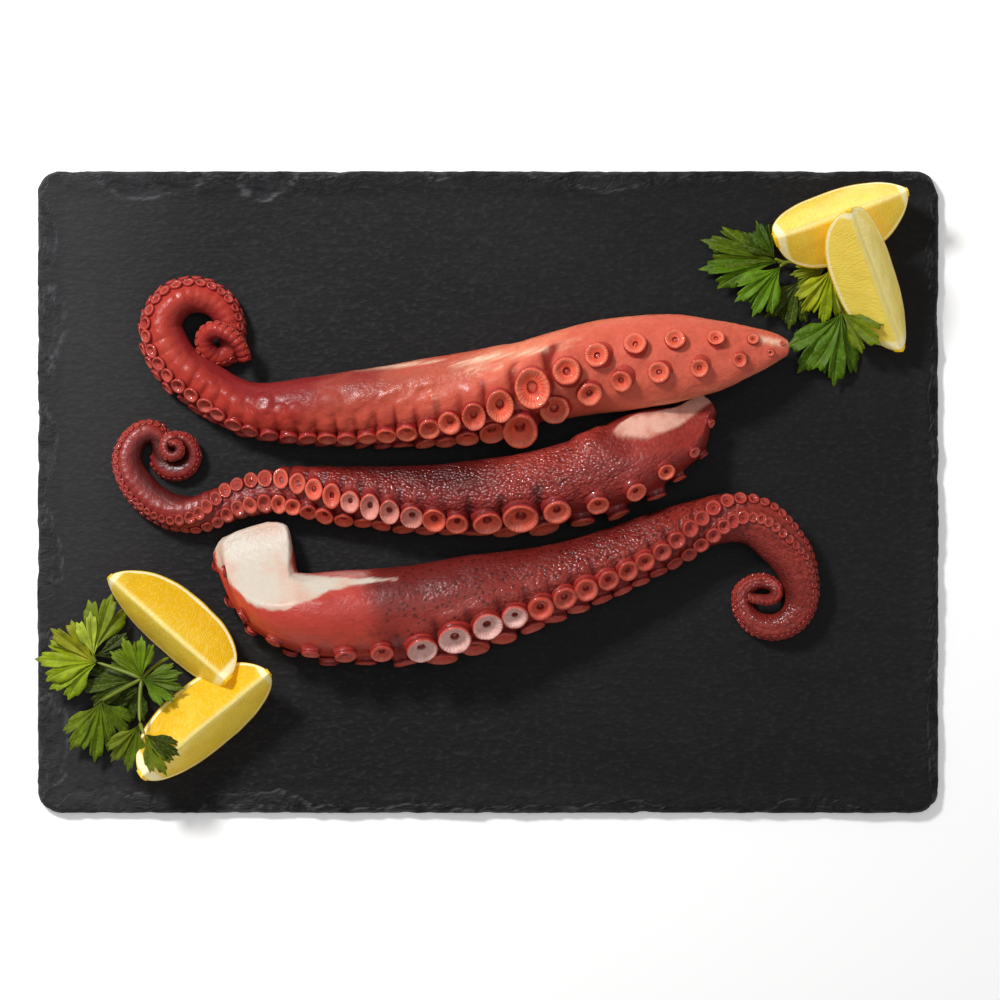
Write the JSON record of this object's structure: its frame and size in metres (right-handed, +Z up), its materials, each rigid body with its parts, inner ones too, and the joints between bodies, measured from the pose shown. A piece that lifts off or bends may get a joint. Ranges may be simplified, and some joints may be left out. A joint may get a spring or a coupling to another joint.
{
  "type": "cooked octopus",
  "caption": "Boiled octopus arms with cup-shaped suckers and curled tips, lying on a flat split-slate board with lemon wedges and sprigs of flat-leaf parsley.",
  "frame": {"origin": "on the underside of the slate, at the middle of the whole", "axes": "+X along the slate's long side, +Y across it towards the first arm, +Z up"},
  "size_m": [0.421, 0.3, 0.0588],
  "materials": {
    "slate": "split slate, matt, with flaked edges",
    "arm_skin_top": "moist boiled octopus skin, coral pink",
    "arm_skin_middle": "moist boiled octopus skin, dark red and pebbled",
    "arm_skin_bottom": "moist boiled octopus skin, brown red, white flesh at the cut",
    "lemon": "moist lemon pulp with pale pith and yellow rind",
    "parsley": "fresh flat parsley leaf, slightly glossy"
  },
  "bodies": {
    "root": {"slate_board": "slate", "arm_top": "arm_skin_top", "arm_middle": "arm_skin_middle", "arm_bottom": "arm_skin_bottom", "lemon_back_right": "lemon", "lemon_front_right": "lemon", "lemon_back_left": "lemon", "lemon_front_left": "lemon", "parsley_right": "parsley", "parsley_left": "parsley"}
  },
  "joints": []
}
